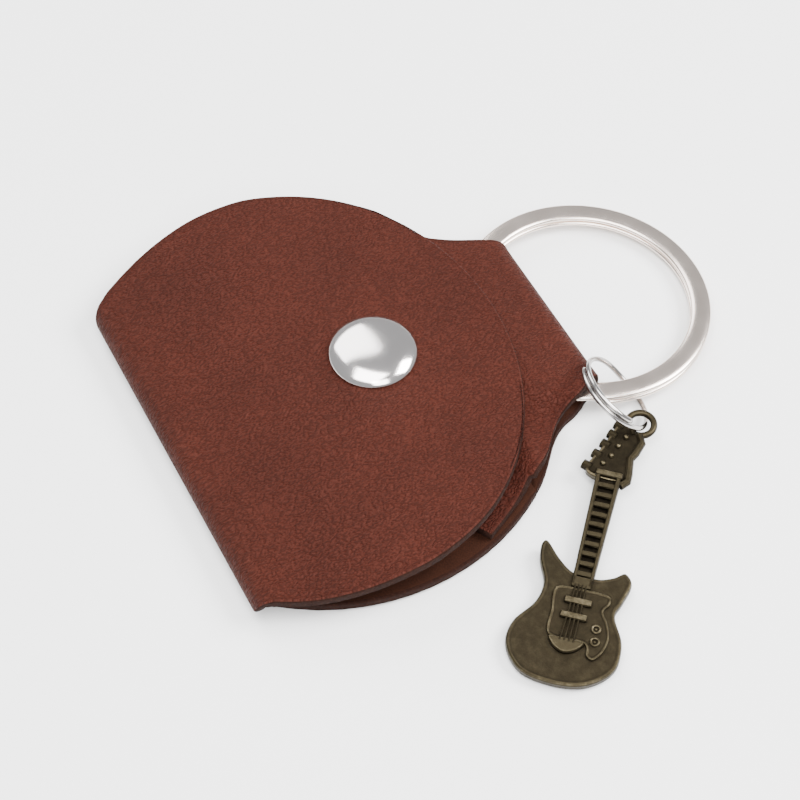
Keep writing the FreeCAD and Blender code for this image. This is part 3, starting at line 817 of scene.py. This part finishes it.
def guitar_charm():
    """Cast guitar: two-horned body with a raised pickguard, fretted neck, head with pegs, and eyelet."""
    c = Casting()
    lip = [(0.28, 0.0, 0.4), (0.06, 0.12, 0.5), (0.0, 0.35, 0.5), (0.0, 1.05, 0.6), (0.1, 1.3, 0.95)]
    lip += [(0.26, 1.42, 0.9), (0.4, 1.43, 0.6), (0.55, 1.39, 0.38), (0.8, 1.385, 0.5)]
    c.plate(closed_curve(BODY), lip)
    lip = [(0.22, 0.0, 0.5), (0.0, 0.3, 0.7), (0.0, 1.1, 0.8), (0.1, 1.36, 1.0), (0.25, 1.42, 0.8)]
    lip += [(0.4, 1.36, 0.25), (0.5, 1.35, 0.3)]
    c.plate(closed_curve(HEAD), lip)
    lip = [(0, 1.2, 0.0), (0, 1.6, 0.55), (0.1, 1.72, 1.0), (0.3, 1.72, 0.9)]
    lip += [(0.42, 1.64, 0.35), (0.6, 1.63, 0.45)]
    c.plate(closed_curve(PICKGUARD, 4), lip)

    def neck(u):
        """The neck's two sides, as y, at a distance u from the eyelet."""
        share = (u - 9.3) / 16.4
        return -1.62 + 0.45 * share, 1.72 - 0.25 * share

    def across(u0, u1, a, b):
        """Plan corners between two stations, at shares a..b of the neck's width."""
        (l0, r0), (l1, r1) = neck(u0), neck(u1)
        start, end = r0 - l0, r1 - l1
        return [(u0, l0 + start * a), (u1, l1 + end * a), (u1, l1 + end * b), (u0, l0 + start * b)]

    c.bar(across(8.6, 26.4, 0.0, 1.0), 0.0, 1.2, 0.12, 0.05)
    c.bar(across(8.9, 26.2, 0.0, 0.19), 0.4, 1.86, 0.8, 0.14)
    c.bar(across(8.9, 26.2, 0.81, 1.0), 0.4, 1.86, 0.8, 0.14)
    c.bar(across(25.0, 26.6, 0.0, 1.0), 0.4, 1.86, 0.75, 0.14)
    c.bar(across(8.8, 9.7, -0.04, 1.04), 0.6, 1.98, 1.0, 0.14)
    for k in range(10):
        u = 11.0 + 1.5 * k
        c.bar(across(u - 0.38, u + 0.38, 0.1, 0.9), 0.9, 1.78, 0.75, 0.14)
    for x, y in ((8.4, -2.8), (6.4, -1.9), (4.6, -1.15), (2.9, -0.55), (1.3, 0.0)):
        shaft = [(x + 0.35, y + 0.9, 1.0), (x + 0.1, y + 0.2, 1.02), (x - 0.12, y - 0.35, 1.0)]
        c.rope(shaft, 0.3, 0.7)
        barrel = [(x + 0.1, y + 0.25, 0.95), (x - 0.05, y - 0.1, 0.95)]
        barrel += [(x - 0.3, y - 0.75, 0.93), (x - 0.34, y - 0.86, 0.93)]
        c.rope(barrel, 0.68, 0.6)
    for x, y in ((7.6, -1.1), (6.2, -0.3), (4.5, 0.3), (2.9, 1.0)):
        c.dome(x, y, 0.42, 1.3, 0.42, 1.0)
    scroll = [(2.0, 2.8), (3.1, 3.4), (4.9, 2.9), (6.0, 2.4), (8.3, 2.7), (9.4, 2.75), (10.3, 2.0)]
    c.rope([(x, y - 0.25, 1.05) for x, y in scroll], 0.6, 0.7)
    for u, v0, v1 in ((28.6, -1.5, 2.05), (30.75, -1.55, 1.9)):
        c.bar([(u - 0.48, v0), (u + 0.48, v0), (u + 0.48, v1), (u - 0.48, v1)], 1.4, 2.12, 1.0, 0.16)
    for v in (-0.75, -0.25, 0.25, 0.75):
        c.rope([(26.2, 0.1 + v * 0.9, 1.84), (30.0, 0.14 + v, 1.95), (34.4, 0.05 + v * 1.15, 2.0)], 0.13, 0.5)
    tailpiece = [(34.05, -2.2), (33.95, 0.0), (34.05, 2.2), (34.9, 1.9)]
    tailpiece += [(35.6, 1.1), (35.95, 0.0), (35.6, -1.1), (34.9, -1.9)]
    lip = [(0, 1.2, 0.1), (0, 1.85, 0.7), (0.15, 2.05, 1.0), (0.3, 2.06, 0.85)]
    c.plate(closed_curve(tailpiece, 3), lip)
    for x, y in ((31.75, 3.3), (33.5, 3.5)):
        c.ring(x, y, 1.72, 0.5, 0.17, 1.0)
        c.dome(x, y, 0.2, 1.66, 0.16, 0.9)
    c.ring(0, 2.4, 0.8, 1.8, 0.46, 0.75)
    c.rope([(0.9, 1.3, 0.85), (1.5, 1.5, 0.9), (2.2, 1.9, 0.95)], 0.62, 0.6)

    tilt = math.asin((CHARM_EYE[2] - 0.8) / CHARM_LENGTH)
    place = Matrix.Translation(CHARM_EYE) @ Matrix.Rotation(CHARM_TURN, 4, "Z")
    place = place @ Matrix.Rotation(tilt, 4, "Y")
    place = place @ Matrix.Translation((0, -2.4, -0.8))
    vertices = [place @ Vector(v) for v in c.vertices]
    piece = new_object("cast_guitar", np.array(vertices), c.faces, [BRONZE], smooth=False)
    worn = piece.data.attributes.new("wear", "FLOAT", "POINT")
    worn.data.foreach_set("value", np.array(c.wear, np.float32))
    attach(piece, "charm")
    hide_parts("guitar_charm")
    return piece


# ---------------------------------------------------------------- studio
LIGHTS = (  # name, place in metres, side, watts
    ("key", (0.16, 0.42, 0.44), 0.3, 8.0),
    ("left_card", (-0.44, 0.0, 0.42), 0.4, 3.5),
    ("front", (0.42, -0.05, 0.5), 0.3, 3.5),
    ("top", (0.1, -0.12, 0.6), 0.42, 7.0),
)
LIGHT_TARGET = Vector((0.006, 0.010, 0.0))
CAMERA_AZIMUTH, CAMERA_ELEVATION = math.radians(62.25), math.radians(55)
CAMERA_DISTANCE, CAMERA_AIM = 0.272, Vector((0.00445, 0.0105, 0.0))


def studio():
    """Pale floor, soft lights and the photograph's camera."""
    bpy.ops.mesh.primitive_plane_add(size=6, location=(0, 0, -0.00035))
    floor = bpy.context.object
    floor.name = "floor"
    paper = Shader("floor_paper", Roughness=0.9, Base_Color=(0.93, 0.93, 0.925, 1))
    floor.data.materials.append(paper.material)

    world = bpy.data.worlds.new("studio")
    world.use_nodes = True
    world.node_tree.nodes["Background"].inputs["Color"].default_value = (0.95, 0.97, 1.0, 1)
    world.node_tree.nodes["Background"].inputs["Strength"].default_value = 0.6
    bpy.context.scene.world = world

    for name, place, size, watts in LIGHTS:
        data = bpy.data.lights.new(name, "AREA")
        data.shape = "SQUARE"
        data.size = size
        data.energy = watts
        lamp = bpy.data.objects.new(name, data)
        lamp.location = place
        lamp.rotation_euler = (LIGHT_TARGET - Vector(place)).to_track_quat("-Z", "Y").to_euler()
        bpy.context.scene.collection.objects.link(lamp)

    level, rise = math.cos(CAMERA_ELEVATION), math.sin(CAMERA_ELEVATION)
    back = Vector((math.sin(CAMERA_AZIMUTH) * level, -math.cos(CAMERA_AZIMUTH) * level, rise))
    data = bpy.data.cameras.new("camera")
    data.lens = 90
    data.sensor_width = 36
    data.clip_start = 0.01
    camera = bpy.data.objects.new("camera", data)
    camera.location = CAMERA_AIM + back * CAMERA_DISTANCE
    camera.rotation_euler = (-back).to_track_quat("-Z", "Y").to_euler()
    bpy.context.scene.collection.objects.link(camera)
    bpy.context.scene.camera = camera


studio()
back_and_flap()
tab_and_tongue()
snap_cap()
key_ring()
link_ring()
guitar_charm()
for name in ("snap_cap_post", "snap_socket", "snap_spring", "snap_stud", "snap_back_rivet"):
    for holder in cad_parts[name].material_slots:
        holder.material = STEEL
